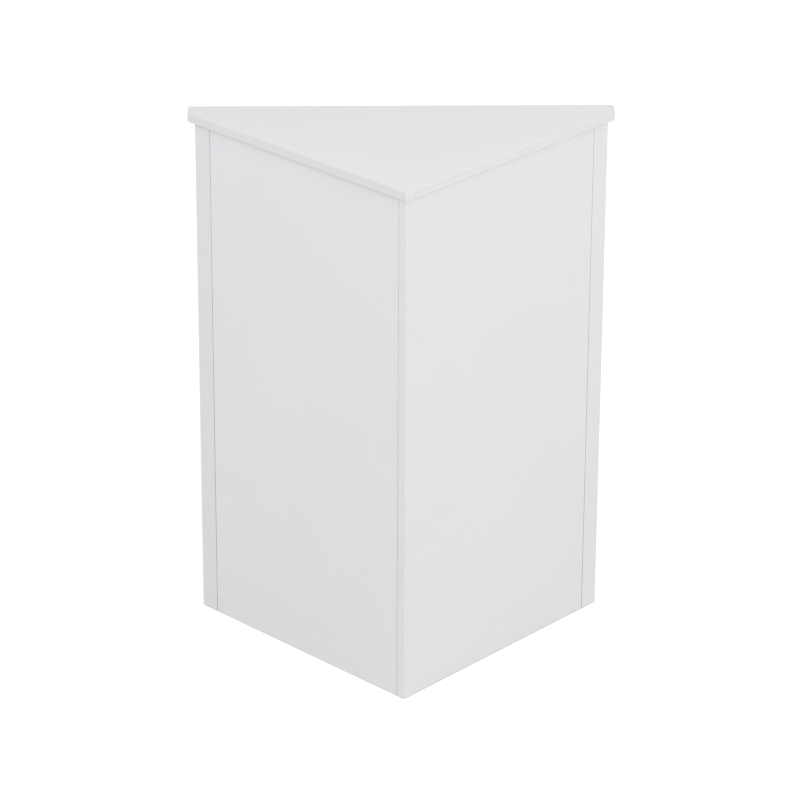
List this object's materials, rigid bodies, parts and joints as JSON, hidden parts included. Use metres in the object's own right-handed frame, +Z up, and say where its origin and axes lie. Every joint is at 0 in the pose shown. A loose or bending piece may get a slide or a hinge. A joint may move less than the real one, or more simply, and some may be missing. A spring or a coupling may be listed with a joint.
{
  "type": "corner bathroom cabinet",
  "caption": "White triangular floor cabinet that stands in a room corner, with a framed door on hinges, shelves inside and an overhanging top.",
  "frame": {"origin": "on the floor, under the middle of the cabinet's bounding box", "axes": "+Z up, the door faces -Y, the wall corner points to +Y, and +X is to the right of someone who faces the door"},
  "size_m": [0.6182, 0.3498, 0.8],
  "materials": {
    "white_board": "white satin lacquer on fibreboard",
    "satin_nickel": "satin nickel plate",
    "zinc_steel": "zinc plate",
    "zinc_alloy": "bare die casting",
    "white_plastic": "moulded",
    "black_magnet": "sintered ferrite",
    "clear_rubber": "translucent soft silicone",
    "beech": "fluted beech, unfinished"
  },
  "bodies": {
    "cabinet": {"top_board": "white_board", "left_wall_panel": "white_board", "right_wall_panel": "white_board", "left_front_stile": "white_board", "right_front_stile": "white_board", "top_front_rail": "white_board", "kick_rail": "white_board", "bottom_board": "white_board", "left_glue_block": "white_board", "right_glue_block": "white_board", "lower_shelf": "white_board", "upper_shelf": "white_board", "lower_shelf_pins": "zinc_steel", "upper_shelf_pins": "zinc_steel", "upper_hinge_frame_leaf": "satin_nickel", "upper_hinge_pin": "satin_nickel", "lower_hinge_frame_leaf": "satin_nickel", "lower_hinge_pin": "satin_nickel", "frame_leaf_screws": "satin_nickel", "catch_housing": "white_plastic", "catch_magnet": "black_magnet", "catch_pole_plates": "zinc_steel", "catch_screws": "zinc_steel", "cam_bolts": "zinc_steel", "cam_locks": "zinc_alloy", "dowels": "beech"},
    "door": {"door_hinge_stile": "white_board", "door_knob_stile": "white_board", "door_top_rail": "white_board", "door_bottom_rail": "white_board", "door_panel": "white_board", "door_bumpers": "clear_rubber", "knob": "satin_nickel", "knob_screw": "zinc_steel", "upper_hinge_door_leaf": "satin_nickel", "lower_hinge_door_leaf": "satin_nickel", "door_leaf_screws": "satin_nickel", "strike_plate": "zinc_steel", "strike_screw": "zinc_steel"}
  },
  "joints": [
    {"name": "door_hinge", "type": "hinge", "parent": "cabinet", "child": "door", "pos_m": [0.25561, -0.13378, 0.4125], "axis": [0, 0, 1], "range_deg": [0, 110]}
  ]
}
